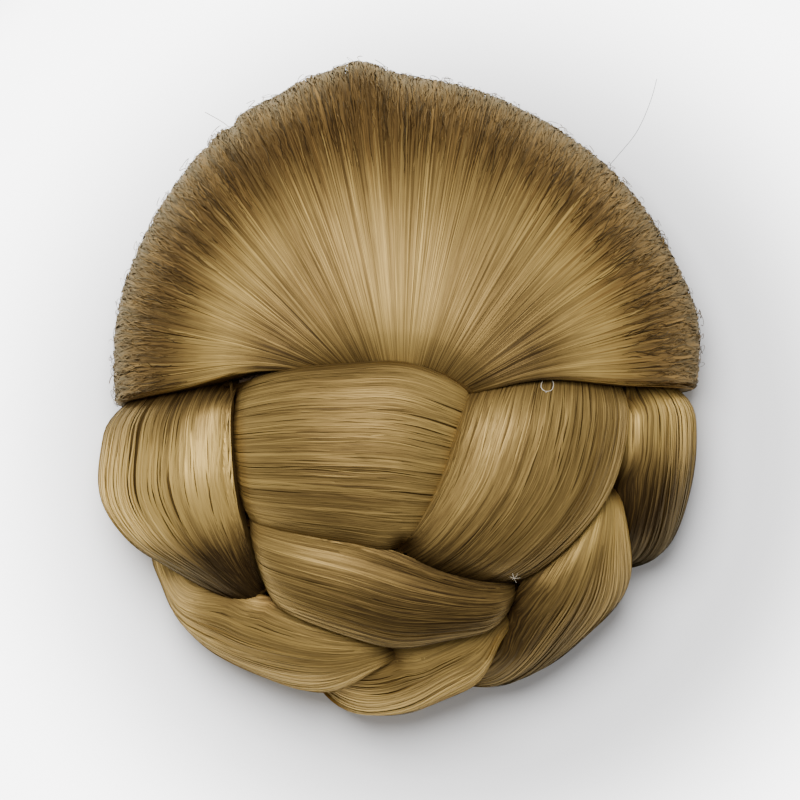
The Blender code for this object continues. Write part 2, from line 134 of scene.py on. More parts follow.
LOCKS = {
    "braid_lock_1": [
        Section(-42.0, -3.0, -40.0, -25.5, 0, -4.0, 3.0),
        Section(-33.5, 0.0, -32.0, -27.5, 0, -3.0, 5.0),
        Section(-22.5, 3.5, -20.5, -31.0, 0, 0.0, 6.5),
        Section(-11.0, 4.5, -11.0, -32.5, 0, 0.5, 7.0),
        Section(0.0, 5.0, -2.5, -34.0, 0, 0.5, 6.5),
        Section(9.0, 2.0, 6.0, -34.5, 0, 0.0, 5.0),
        Section(17.5, -3.0, 14.5, -32.5, 0, -2.0, 4.0),
        Section(22.5, -9.0, 20.5, -27.5, 0, -4.0, 2.0),
    ],
    "braid_lock_2": [
        Section(20.5, 6.5, 45.0, 7.0, 0, -2.0, 4.0),
        Section(14.0, -1.0, 45.8, -1.0, 0, 0.0, 5.5),
        Section(10.5, -9.5, 44.8, -11.0, 0, 0.5, 7.0),
        Section(7.5, -18.0, 41.5, -21.0, 0, 0.5, 7.5),
        Section(2.5, -26.5, 34.5, -30.5, 0, 0.0, 7.0),
        Section(-3.5, -33.5, 25.5, -38.0, 0, -1.5, 5.0),
        Section(-6.5, -38.0, 17.5, -43.0, 0, -4.0, 3.0),
    ],
    "braid_lock_3": [
        Section(-33.0, -23.5, -25.5, -42.0, 0, -4.0, 3.0),
        Section(-29.5, -26.0, -23.0, -44.0, 0, -2.0, 5.0),
        Section(-20.5, -28.5, -18.5, -46.0, 0, -0.5, 7.0),
        Section(-10.0, -30.5, -9.0, -49.5, 0, 0.0, 7.5),
        Section(-1.0, -33.5, 0.0, -51.5, 0, 0.0, 7.5),
        Section(8.0, -37.0, 8.5, -50.0, 0, 0.0, 7.0),
        Section(15.5, -39.0, 15.5, -48.5, 0, -0.5, 6.0),
        Section(20.5, -39.5, 19.5, -47.0, 0, -1.0, 4.5),
        Section(24.5, -39.7, 22.5, -44.5, 0, -3.0, 2.5),
    ],
    "braid_lock_4": [
        Section(38.5, -15.5, 42.0, -17.0, 0, -4.0, 3.0),
        Section(37.5, -22.5, 42.8, -22.0, 0, -2.5, 5.0),
        Section(32.5, -30.5, 44.0, -30.0, 0, -1.5, 6.5),
        Section(26.0, -37.5, 45.5, -40.0, 10, -1.0, 7.0),
        Section(21.5, -44.5, 40.5, -47.5, 21, -1.0, 6.5),
        Section(17.5, -52.0, 32.5, -54.0, 22, -1.5, 7.0),
        Section(12.5, -56.0, 23.5, -59.0, 22, -2.5, 7.0),
        Section(6.0, -58.0, 12.0, -61.5, 18, -4.0, 5.0),
    ],
    "braid_lock_5": [
        Section(-23.5, -56.0, -23.5, -62.0, 14, -4.0, 4.0),
        Section(-17.5, -56.5, -17.5, -63.5, 20, -2.0, 7.0),
        Section(-9.0, -54.5, -10.0, -66.5, 23, -1.0, 8.0),
        Section(1.0, -51.0, 0.0, -67.0, 21, -0.5, 7.0),
        Section(9.5, -49.0, 7.5, -63.0, 4, -0.5, 5.5),
        Section(15.0, -47.5, 14.0, -57.5, 0, -0.5, 5.5),
        Section(19.0, -46.5, 18.3, -51.5, 0, -0.5, 4.5),
        Section(21.8, -45.3, 21.2, -48.2, 0, -2.0, 3.0),
    ],
    "lower_lock_left": [
        Section(-54.0, -25.5, -57.5, -26.5, 12, -4.0, 5.0),
        Section(-50.0, -32.5, -51.0, -36.5, 20, -2.0, 8.0),
        Section(-43.0, -37.0, -47.0, -45.5, 22, -1.0, 9.0),
        Section(-33.5, -40.5, -39.0, -54.5, 23, -0.5, 9.0),
        Section(-23.5, -43.5, -27.5, -60.5, 21, -1.0, 7.5),
        Section(-13.5, -47.0, -15.5, -60.0, 6, -1.0, 6.5),
        Section(-5.0, -49.8, -6.0, -55.5, 0, -1.5, 5.5),
        Section(0.8, -51.0, 0.3, -52.5, 0, -3.0, 3.5),
    ],
    "side_lock_left": [
        Section(-35.0, 6.5, -57.5, 5.5, 16, -3.0, 4.0),
        Section(-34.0, -0.5, -59.0, -3.0, 21, -1.5, 6.0),
        Section(-34.0, -9.0, -60.5, -11.0, 23, -1.0, 8.5),
        Section(-33.5, -18.0, -60.5, -21.0, 23, -0.5, 11.0),
        Section(-32.0, -26.5, -56.0, -29.5, 16, -1.0, 9.5),
        Section(-30.0, -33.5, -46.5, -32.5, 0, -1.5, 7.0),
        Section(-28.5, -38.0, -38.5, -38.0, 0, -2.0, 5.0),
        Section(-26.0, -42.5, -31.0, -42.5, 0, -3.0, 3.0),
    ],
    "side_lock_right": [
        Section(44.0, 5.5, 60.0, 5.5, 16, -3.0, 4.0),
        Section(44.5, -1.0, 59.5, -1.0, 21, -1.5, 6.5),
        Section(43.5, -11.0, 60.0, -11.0, 23, -1.5, 8.5),
        Section(42.5, -21.0, 59.0, -21.0, 23, -1.5, 9.5),
        Section(42.5, -29.5, 56.0, -30.5, 22, -1.5, 9.5),
        Section(43.0, -36.5, 51.0, -37.5, 20, -2.0, 7.0),
        Section(43.5, -42.0, 46.0, -43.0, 16, -3.0, 5.0),
        Section(42.0, -46.0, 43.5, -46.5, 8, -4.0, 3.0),
    ],
}
# The pieces that lie over each piece, and how far they press it down at their edge, in millimetres
PRESSED_BY = {
    "crown_fan": {"braid_lock_1": 1.2},
    "braid_lock_1": {"braid_lock_2": 1.5, "braid_lock_3": 1.2, "side_lock_left": 4.0},
    "braid_lock_2": {"crown_fan": 2.5, "braid_lock_3": 2.2},
    "braid_lock_3": {"braid_lock_4": 1.5, "side_lock_left": 4.0},
    "braid_lock_4": {"braid_lock_2": 2.0, "braid_lock_5": 2.0, "braid_lock_3": 2.0},
    "braid_lock_5": {"braid_lock_3": 2.0, "lower_lock_left": 2.0},
    "lower_lock_left": {"braid_lock_3": 2.0, "side_lock_left": 1.0},
    "side_lock_left": {"crown_fan": 3.2},
    "side_lock_right": {"crown_fan": 2.5, "braid_lock_2": 2.0, "braid_lock_4": 2.0},
}

# Painted highlight and shade along each lock: how much lighter or darker than the rest its hair is
# made, evenly spaced from root to tip
PAINTED_LIGHT = {
    "crown_fan": (0.0, 0.0, 0.0, 0.0, 0.08, 0.32),
    "braid_lock_1": (0.25, 0.2, -0.1, -0.14, 0.12, 0.42, 0.42),
    "braid_lock_2": (0.0, 0.0, -0.04, -0.08, -0.32, -0.42),
    "braid_lock_3": (0.06, -0.06, -0.34, -0.38, -0.2),
    "braid_lock_4": (0.2, 0.42, 0.1, -0.2, -0.35, -0.25, 0.0),
    "braid_lock_5": (0.2, 0.2),
    "lower_lock_left": (0.18, 0.14),
    "side_lock_left": (-0.38, -0.32, 0.42, 0.45, -0.42, -0.75, -0.7),
    "side_lock_right": (0.0, 0.44, -0.46, -0.8, -0.15, 0.12),
}

# How many strips of hair a lock has, how many stations each strip has, and the lock's length
Laid = namedtuple("Laid", "strips stations length")

HAIR_LAID = {
    "braid_lock_1": Laid(320, 40, 62.0),
    "braid_lock_2": Laid(320, 40, 64.0),
    "braid_lock_3": Laid(260, 40, 58.0),
    "braid_lock_4": Laid(260, 44, 58.0),
    "braid_lock_5": Laid(220, 40, 50.0),
    "lower_lock_left": Laid(280, 44, 66.0),
    "side_lock_left": Laid(320, 44, 62.0),
    "side_lock_right": Laid(220, 44, 52.0),
}
FAN_LAID = Laid(560, 28, 78.0)
FUZZ_LAID = Laid(2000, 8, 9.0)
CURLS_LAID = Laid(600, 9, 4.0)

# The fan's two layers of hair, and the share of loose hairs in each
FAN_LAYERS = {"crown_fan_hair_under": 0.0, "crown_fan_hair_over": 0.3}

# A stray hair has this many stations for each of its spots
STRAY_STATIONS = 6
STRAY_LENGTH = 20.0

# How each kind of hair is laid and toned. Places along and across are shares of a piece's form,
# lifts, heights and widths are in millimetres. start, reach, lift, widths and the like are ranges
# to draw from, a wave is the spread of its height and its pace, and clumps and tones are counts of
# bends with their strength.
LOCK_HAIR = SimpleNamespace(
    roots=0.995,
    run=(0.004, 0.996),
    loose_share=0.2,
    drift=0.045,
    loose_drift=1.5,
    sway=(0.008, 8.0),
    fine_sway=(0.004, 26.0),
    clumps=((18, 50), 0.05),
    lift=(-0.16, 0.0),
    loose_lift=0.14,
    ripple=(0.05, 9.0),
    tones=((6, 30, 90), 0.055),
    loose_tone=0.13,
    # painted shade on strips that lie lower, under the strips over them
    under_shade=0.25,
    widths=(0.32, 0.62),
    taper=(0.35, 3.0),
)
FAN_HAIR = SimpleNamespace(
    roots=0.999,
    side_limit=0.9995,
    station_power=1.35,
    near_rim=(0.24, 0.6),
    drift=0.015,
    still_at=0.7,
    wander=(0.004, 6.0),
    crimp=(0.003, 46.0),
    clumps=((40, 120), 0.06),
    lift=(-0.25, 0.0),
    loose_lift=0.12,
    settle=0.5,
    rough=(0.2, 31.0),
    tones=((10, 60, 180), 0.09),
    rim_mixed=0.24,
    loose_tone=0.12,
    # painted shade on the rim's edge where it bends down, less of it towards the right
    edge_shade=0.82,
    edge_lit_right=0.14,
    edge_down=(1.12, 1.42),
    # painted shade on strips that lie lower, under the strips over them
    under_shade=0.3,
    widths=(0.42, 0.85),
    narrowing=0.65,
)
FUZZ = SimpleNamespace(
    roots=0.997,
    start=(0.14, 0.54),
    reach=(0.08, 0.2),
    lean=0.006,
    crimp=(0.0015, 0.0045),
    crimp_pace=(5.0, 14.0),
    stand=(0.0, 0.3),
    ripple=0.12,
    ripple_pace=9.0,
    sunk=0.05,
    tone=(0.0, 0.75),
    # painted shade on the fuzz where the rim bends down
    edge_shade=0.6,
    edge_down=(1.15, 1.45),
    widths=(0.12, 0.22),
    taper=(0.4, 2.0),
    roll=0.4,
)
CURLS = SimpleNamespace(
    roots=0.998,
    start=(0.10, 0.30),
    reach=(0.02, 0.07),
    turns=(0.4, 1.3),
    swing=(0.003, 0.012),
    stand=(0.1, 1.0),
    most_stand=1.5,
    bow=(0.5, 0.95),
    sunk=0.15,
    tone=(0.2, 0.8),
    widths=(0.09, 0.15),
)

# The fan's ashy rim zone, whose colour is also painted darker as shade: radians down from the
# crown, how ragged, and how much nearer at the top
RIM_ZONE = (0.70, 1.08)
RIM_RAGGED = 0.09
RIM_NEARER_TOP = 0.10

# The painted highlight of a lit arc across the fan: how light, how far out and how wide, each with
# its change to the right, the painted lighter right rim, and the painted shade near the gather
SHEEN = SimpleNamespace(
    light=0.42,
    light_right=0.08,
    out=0.70,
    out_right=0.03,
    reach=0.11,
    rim_light=0.12,
    rim_from=(0.68, 0.8),
    gather_shade=0.5,
    gather_to=(0.44, 0.66),
)

# Where the fan's rim stands out or has a notch: compass, height in millimetres and spread
RIM_TUFTS = [
    (98.0, 1.9, 5.0),
    (88.0, -0.4, 5.0),
    (115.0, -1.0, 5.0),
    (11.0, 1.1, 8.0),
    (72.0, 0.7, 8.0),
    (125.5, -0.9, 1.5),
]
TUFT_DOWN = (1.0, 1.45)

# Small hollows in a piece where it parts from its neighbours, with the hair in them painted darker
# as shade: x, y, radius and depth
HOLLOWS = {
    "braid_lock_1": [(-35.7, 0.4, 2.6, 2.5), (-32.5, 1.2, 2.2, 1.5), (0.6, -32.6, 2.2, 2.5)],
    "braid_lock_2": [(0.6, -32.6, 2.4, 2.5)],
    "braid_lock_4": [
        (43.9, -20.8, 1.8, 2.0),
        (22.5, -46.5, 1.6, 1.5),
        (21.0, -49.5, 1.8, 1.5),
        (19.5, -52.5, 1.8, 1.5),
        (18.0, -55.0, 1.5, 1.2),
    ],
    "lower_lock_left": [(-27.2, -41.8, 1.8, 1.0), (-1.5, -53.6, 1.6, 1.0)],
    "side_lock_left": [(-35.7, 0.4, 2.6, 2.5), (-27.2, -41.8, 1.8, 1.0)],
    "side_lock_right": [(47.4, -2.8, 2.0, 2.2), (43.9, -20.8, 1.8, 2.0)],
}


def place_seen_at(x, y, level, tuck=0.0):
    """The place where this level shows at x, y from above, or below its widest line by tuck."""
    flat = np.array((x / (MID_AXES[0] + level), y / (MID_AXES[1] + level)))
    length = float(np.hypot(*flat))
    down = math.radians(90.0 + tuck) if tuck else math.asin(min(length, 1.0))
    return flat / length * down


def down_and_heading(places):
    """How far down from the crown each place is, in radians, and its unit vector from there."""
    down = np.linalg.norm(places, axis=-1)
    return down, places / np.maximum(down, TINY)[..., None]


def on_dome(places, levels):
    """Points in millimetres at these levels over the dome's middle layer."""
    down, heading = down_and_heading(places)
    down = down[..., None]
    ball = np.concatenate((heading * np.sin(down), np.cos(down)), axis=-1)
    outward = ball / MID_AXES
    outward /= np.linalg.norm(outward, axis=-1, keepdims=True)
    layer = ball * MID_AXES + (0.0, 0.0, WIDEST_Z)
    return layer + outward * levels[..., None] + AXIS


def smooth_values(values, shares):
    """A Catmull-Rom curve through the values, read at shares from 0 to 1."""
    values = np.asarray(values, float)
    flat = values[:, None] if values.ndim == 1 else values
    place = np.clip(shares, 0.0, 1.0) * (len(flat) - 1)
    index = np.minimum(place.astype(int), len(flat) - 2)
    t = (place - index)[..., None]
    start, end = flat[index], flat[index + 1]
    slope_in = (end - flat[np.maximum(index - 1, 0)]) * 0.5
    slope_out = (flat[np.minimum(index + 2, len(flat) - 1)] - start) * 0.5
    found = (
        start * (2 * t**3 - 3 * t**2 + 1)
        + slope_in * (t**3 - 2 * t**2 + t)
        + end * (3 * t**2 - 2 * t**3)
        + slope_out * (t**3 - t**2)
    )
    return found[..., 0] if values.ndim == 1 else found


def soft_curve(values):
    """The Catmull-Rom curve through the values with its bends softened, as FORM_STEPS + 1 rows."""
    flat = np.asarray(values, float).reshape(len(values), -1)
    curve = smooth_values(flat, np.linspace(0.0, 1.0, FORM_STEPS + 1))
    reach = round(FORM_SOFTENING * FORM_STEPS / (len(flat) - 1))
    before = 2.0 * curve[0] - curve[reach:0:-1]
    after = 2.0 * curve[-1] - curve[-2 : -reach - 2 : -1]
    padded = np.concatenate((before, curve, after))
    weights = np.hanning(2 * reach + 3)[1:-1]
    weights /= weights.sum()
    return np.stack([np.convolve(column, weights, "valid") for column in padded.T], axis=-1)


def read_curve(curve, shares):
    """The rows of a soft curve at these shares from 0 to 1."""
    place = np.clip(shares, 0.0, 1.0) * FORM_STEPS
    index = np.minimum(place.astype(int), FORM_STEPS - 1)
    part = (place - index)[..., None]
    found = curve[index] * (1.0 - part) + curve[index + 1] * part
    return found[..., 0] if curve.shape[1] == 1 else found


def arch(across, power):
    """A rounded profile: 1 in the middle, at 0, and 0 at both edges, at -1 and 1."""
    return np.maximum(0.0, 1.0 - np.abs(across) ** power) ** (1.0 / power)


def smooth_step(low, high, values):
    """0 below low, 1 above high, and a soft rise between."""
    share = np.clip((values - low) / (high - low), 0.0, 1.0)
    return share * share * (3.0 - 2.0 * share)


def soft_noise(rng, count, shares):
    """Smooth random values about 0, with count bends, read at shares from 0 to 1."""
    return smooth_values(rng.uniform(-1.0, 1.0, count + 1), shares)


def clumped(rng, clumps, shares):
    """Smooth random values that neighbours share, summed over the clumps' counts of bends."""
    counts, strength = clumps
    return sum(strength * soft_noise(rng, count, shares) for count in counts)


def drawn(rng, limits, count):
    """A random value between the limits for each strip, as a column."""
    return rng.uniform(*limits, count)[:, None]


def waves(rng, wave, along, phase):
    """A wave along each strip, of a random height with this spread and of a given pace."""
    spread, pace = wave
    return rng.normal(0.0, spread, (len(along), 1)) * np.sin(along * pace + phase)


def fades(rng, along, phase):
    """How each strip's tone changes slowly along its way."""
    return FADE * np.sin(along * drawn(rng, FADE_PACE, len(along)) + 2.0 * phase)


def tapered(taper, run):
    """1 in the middle of a run from 0 to 1, and the taper's least share at both its ends."""
    least, power = taper
    return least + (1.0 - least) * arch(2.0 * run - 1.0, power)


def unit(vectors):
    """The vectors at length 1."""
    return vectors / np.maximum(np.linalg.norm(vectors, axis=-1, keepdims=True), 1e-12)


class Lock:
    """The form of one lock: along runs from root to tip, across from -1, left, to 1, right."""

    def __init__(self, sections):
        left = [place_seen_at(s.left_x, s.left_y, s.edge) for s in sections]
        right = [place_seen_at(s.right_x, s.right_y, s.edge, s.tuck) for s in sections]
        self.left, self.right = soft_curve(left), soft_curve(right)
        self.edges = soft_curve([s.edge for s in sections])
        self.crowns = soft_curve([s.crown for s in sections])

    def places(self, along, across):
        """The places at these shares of the form."""
        share = ((across + 1.0) / 2.0)[..., None]
        return read_curve(self.left, along) * (1.0 - share) + read_curve(self.right, along) * share

    def top(self, along, across):
        """The levels of the form's upper side."""
        end = arch(2.0 * along - 1.0, END_POWER)
        crown = read_curve(self.crowns, along) * arch(across, CROWN_POWER)
        return read_curve(self.edges, along) + crown * end

    def bottom(self, along, across):
        """The levels of the form's underside."""
        edge = read_curve(self.edges, along)
        end = arch(2.0 * along - 1.0, END_POWER)
        return edge - (edge + HAIR_SEAT) * arch(across, BELLY_POWER) * end

    def outline(self):
        """The places round the form's border, in order."""
        along = np.linspace(0.0, 1.0, OUTLINE_STEPS)
        side = np.ones_like(along)
        return np.concatenate((self.places(along, -side), self.places(along, side)[::-1]))


class Fan:
    """The form of the fan: along runs from rim to gather, across from -1, left, to 1, right."""

    def places(self, along, across):
        """The places at these shares of the form."""
        turn = (across + 1.0) / 2.0
        compass = np.radians(FAN_LEFT_DEG + (FAN_RIGHT_DEG - FAN_LEFT_DEG) * turn)
        heading = np.stack((np.cos(compass), np.sin(compass)), axis=-1)
        rim = heading * math.radians(90.0 + FAN_TUCK_DEG)
        aim = rim + (place_seen_at(*FAN_AIM, HAIR_RISE) - rim) * FAN_AIM_SHARE
        gather = smooth_values([place_seen_at(*spot, HAIR_RISE) for spot in FAN_GATHER], turn)
        share = along[..., None]
        first = rim + (aim - rim) * share
        near_bow = np.exp(-(((along - FAN_BOW_AT) / FAN_BOW_REACH) ** 2))
        bow = np.abs(across) ** FAN_BOW_POWER * near_bow * FAN_BOW / CHART_MM
        raised = np.stack((np.zeros_like(bow), bow), axis=-1)
        return first + (aim + (gather - aim) * share - first) * share + raised

    def body(self, along, across):
        """How full the fan is: 1 over most of it and 0 at its borders."""
        rim_share = np.minimum(along / FAN_RIM_SHARE, 1.0) - 1.0
        side, rim = arch(across, FAN_SIDE_POWER), arch(rim_share, CROWN_POWER)
        return side * rim * arch(along, FAN_TAIL_POWER)

    def edge(self, along):
        """The level of the fan's border, which dips under the locks near the gather."""
        past = np.maximum(0.0, (along - FAN_DIP_START) / (1.0 - FAN_DIP_START))
        return -FAN_DIP * past**2

    def top(self, along, across):
        """The levels of the form's upper side."""
        rim_rise = smooth_values(FAN_RIM_RISE, (across + 1.0) / 2.0)
        rise = rim_rise + (HAIR_RISE - rim_rise) * along
        return self.edge(along) + rise * self.body(along, across)

    def bottom(self, along, across):
        """The levels of the form's underside."""
        edge = self.edge(along)
        return edge - (edge + HAIR_SEAT) * self.body(along, across)

    def outline(self):
        """The places round the form's border, in order."""
        steps = np.linspace(0.0, 1.0, OUTLINE_STEPS)
        ones = np.ones_like(steps)
        rim = self.places(0.0 * steps, 2.0 * steps - 1.0)
        right = self.places(steps, ones)
        gather = self.places(ones, 1.0 - 2.0 * steps)
        left = self.places(1.0 - steps, -ones)
        return np.concatenate((rim, right, gather, left))


FORMS = {name: Lock(sections) for name, sections in LOCKS.items()}
FORMS["crown_fan"] = Fan()


def depth_inside(places, outline):
    """How far each place lies inside the outline on the dome, in mm: less than 0 outside."""
    flat = places.reshape(-1, 2)
    nearest = np.full(len(flat), np.inf)
    inside = np.zeros(len(flat), bool)
    for start, end in zip(outline, np.roll(outline, -1, axis=0)):
        side = end - start
        length = float(side @ side)
        if length < 1e-12:
            continue
        share = np.clip((flat - start) @ side / length, 0.0, 1.0)
        gap = flat - start - share[:, None] * side
        nearest = np.minimum(nearest, np.einsum("ij,ij->i", gap, gap))
        if abs(side[1]) > 1e-12:
            crosses = (start[1] > flat[:, 1]) != (end[1] > flat[:, 1])
            at = start[0] + (flat[:, 1] - start[1]) * side[0] / side[1]
            inside ^= crosses & (flat[:, 0] < at)
    depth = np.sqrt(nearest) * np.where(inside, 1.0, -1.0) * CHART_MM
    return depth.reshape(places.shape[:-1])


def pressed_depth(name, places):
    """How far the pieces above press this piece down at each place, in millimetres."""
    total = np.zeros(places.shape[:-1])
    for over, depth in PRESSED_BY[name].items():
        inside = depth_inside(places, FORMS[over].outline())
        near = np.maximum(0.0, 1.0 + inside / PRESS_REACH)
        total = np.minimum(np.hypot(total, depth * near**2), PRESS_LIMIT)
    return total


def hollows_at(name, points):
    """How much each point lies in one of its piece's hollows, and how far that lowers it."""
    share, lowered = np.zeros(points.shape[:-1]), np.zeros(points.shape[:-1])
    for x, y, radius, depth in HOLLOWS.get(name, ()):
        gap = points[..., :2] - AXIS[:2] - (x, y)
        near = np.exp(-(gap**2).sum(axis=-1) / radius**2)
        share = np.maximum(share, near)
        lowered = np.maximum(lowered, depth * near)
    return share, lowered


def add_piece(name, mesh, material):
    """Puts a mesh in the scene as a piece of the hairpiece."""
    piece = bpy.data.objects.new(name, mesh)
    bpy.context.scene.collection.objects.link(piece)
    mesh.materials.append(material)
    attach(piece, "root")
    return piece


def build_mesh(name, points, quads, triangles, shade, flow):
    """A smooth mesh from arrays in millimetres.

    Its material reads shade, a colour for each vertex, and flow, the way across and along the
    hair in millimetres.
    """
    mesh = bpy.data.meshes.new(name)
    corners = np.concatenate((quads.ravel(), triangles.ravel())).astype(np.int32)
    sizes = np.concatenate((np.full(len(quads), 4), np.full(len(triangles), 3)))
    mesh.vertices.add(len(points))
    mesh.vertices.foreach_set("co", (points * MM).astype(np.float32).ravel())
    mesh.loops.add(len(corners))
    mesh.loops.foreach_set("vertex_index", corners)
    mesh.polygons.add(len(sizes))
    starts = np.concatenate(((0,), np.cumsum(sizes)[:-1])).astype(np.int32)
    mesh.polygons.foreach_set("loop_start", starts)
    mesh.update(calc_edges=True)
    mesh.validate()
    colours = mesh.attributes.new("shade", "FLOAT_COLOR", "POINT")
    colours.data.foreach_set("color", shade.astype(np.float32).ravel())
    ways = mesh.attributes.new("flow", "FLOAT_VECTOR", "POINT")
    ways.data.foreach_set("vector", flow.astype(np.float32).ravel())
    mesh.shade_smooth()
    return mesh


def above_floor(points):
    """The points with their heights eased off, so that none comes to the floor."""
    eased = points.copy()
    over = (points[..., 2] - LEAST_HEIGHT) / EASE_HEIGHT
    eased[..., 2] = LEAST_HEIGHT + EASE_HEIGHT * np.logaddexp(0.0, over)
    return eased


def strip_mesh(name, points, sides, widths, rolls, shade, length):
    """Strips of hair with three long faces each, closed at both ends.

    points is strips by stations by 3, sides is which way each strip's right is, and rolls turns
    each strip about itself.
    """
    strips, stations = points.shape[:2]
    points = above_floor(points)
    tangent = unit(np.gradient(points, axis=1))
    sides = unit(sides - tangent * (sides * tangent).sum(axis=-1, keepdims=True))
    up = np.cross(sides, tangent)
    up *= np.sign((up * (points - AXIS - (0.0, 0.0, WIDEST_Z))).sum(axis=-1, keepdims=True))
    cosine, sine = np.cos(rolls)[:, None, None], np.sin(rolls)[:, None, None]
    across = sides * cosine + up * sine
    inward = sides * sine - up * cosine
    half = widths[..., None] / 2.0
    corners = (points - across * half, points + across * half, points + inward * half)
    corners = np.stack(corners, axis=2)
    index = np.arange(strips * stations * 3).reshape(strips, stations, 3)
    beside = np.roll(index, -1, axis=2)
    quads = np.stack((index[:, :-1], index[:, 1:], beside[:, 1:], beside[:, :-1]), axis=-1)
    caps = np.concatenate((index[:, 0], index[:, -1, ::-1]))
    colours = np.repeat(shade[:, :, None], 3, axis=2)
    flow = np.zeros(corners.shape)
    flow[..., 0] = STREAK_STEP * np.arange(strips)[:, None, None] + half * (-1.0, 1.0, 0.0)
    flow[..., 1] = np.linspace(0.0, length, stations)[:, None]
    mesh = build_mesh(
        name,
        corners.reshape(-1, 3),
        quads.reshape(-1, 4),
        caps,
        colours.reshape(-1, 4),
        flow.reshape(-1, 3),
    )
    ends = np.empty(len(mesh.edges) * 2, np.int32)
    mesh.edges.foreach_get("vertices", ends)
    sharp = mesh.attributes.get("sharp_edge")
    sharp = sharp or mesh.attributes.new("sharp_edge", "BOOLEAN", "EDGE")
    sharp.data.foreach_set("value", np.abs(ends[0::2] - ends[1::2]) == 3)
    return mesh


def core_mesh(name, form, columns, rows):
    """The closed body under a lock's hair: two surfaces that meet along their borders."""
    shares = np.linspace(0.0, 1.0, columns + 1), np.linspace(-1.0, 1.0, rows + 1)
    along, side = np.meshgrid(*shares, indexing="ij")
    across = np.sin(side * math.pi / 2.0)
    places = form.places(along, across)
    bottom = form.bottom(along, across)
    pressed = pressed_depth(name, places)
    thick = np.maximum(0.0, form.top(along, across) - pressed - bottom)
    top = bottom + thick**2 / (thick + CORE_DROP)
    if name == "crown_fan":
        top += np.minimum(tuft_rise(across, places), 0.0)
    lowered = hollows_at(name, on_dome(places, top))[1]
    top -= np.minimum(lowered, np.maximum(0.0, top - bottom - CORE_LEAST))
    points = np.stack((on_dome(places, top), on_dome(places, bottom))).reshape(-1, 3)
    index = np.arange((columns + 1) * (rows + 1)).reshape(columns + 1, rows + 1)
    quads = (index[:-1, :-1], index[1:, :-1], index[1:, 1:], index[:-1, 1:])
    quads = np.stack(quads, axis=-1).reshape(-1, 4)
    quads = np.concatenate((quads, quads[:, ::-1] + index.size))
    shade = np.tile((CORE_TONE, 0.0, 0.0, 1.0), (len(points), 1))
    if name == "crown_fan":
        shade[:, 1] = np.tile(rim_share(places, 0.0).ravel(), 2)
    # Painted shade: the core is darker in the gaps where it shows, and darker still where pressed
    shade[:, 2] = np.tile(CORE_UNSHADED * (1.0 - smooth_step(*SHADE_PRESS, pressed)).ravel(), 2)
    flow = np.stack((across * CORE_FLOW[0], along * CORE_FLOW[1], 0.0 * along), axis=-1)
    flow = np.tile(flow.reshape(-1, 3), (2, 1))
    mesh = build_mesh(name + "_core", points, quads, np.zeros((0, 3), int), shade, flow)
    body = bmesh.new()
    body.from_mesh(mesh)
    bmesh.ops.remove_doubles(body, verts=body.verts, dist=WELD_MM * MM)
    bmesh.ops.recalc_face_normals(body, faces=body.faces)
    body.to_mesh(mesh)
    body.free()
    return mesh


def tones(rng, clumps, shares):
    """A tone for each strip, shared in part by its neighbours: 0 is darkest and 1 lightest."""
    return TONE_MIDDLE + rng.normal(0.0, TONE_SPREAD, shares.shape) + clumped(rng, clumps, shares)


def even_spread(rng, count):
    """Places from -1 to 1 that are evenly spread but for a small random step."""
    return (np.arange(count) + rng.uniform(0.0, 1.0, count)) / count * 2.0 - 1.0


def sides_on(form, along, across, levels):
    """Which way a strip's right is: along the form's own surface, towards greater across."""
    right = np.minimum(across + SIDE_STEP, 1.0)
    left = right - 2.0 * SIDE_STEP
    lift = levels - form.top(along, across)
    first = on_dome(form.places(along, left), form.top(along, left) + lift)
    return on_dome(form.places(along, right), form.top(along, right) + lift) - first


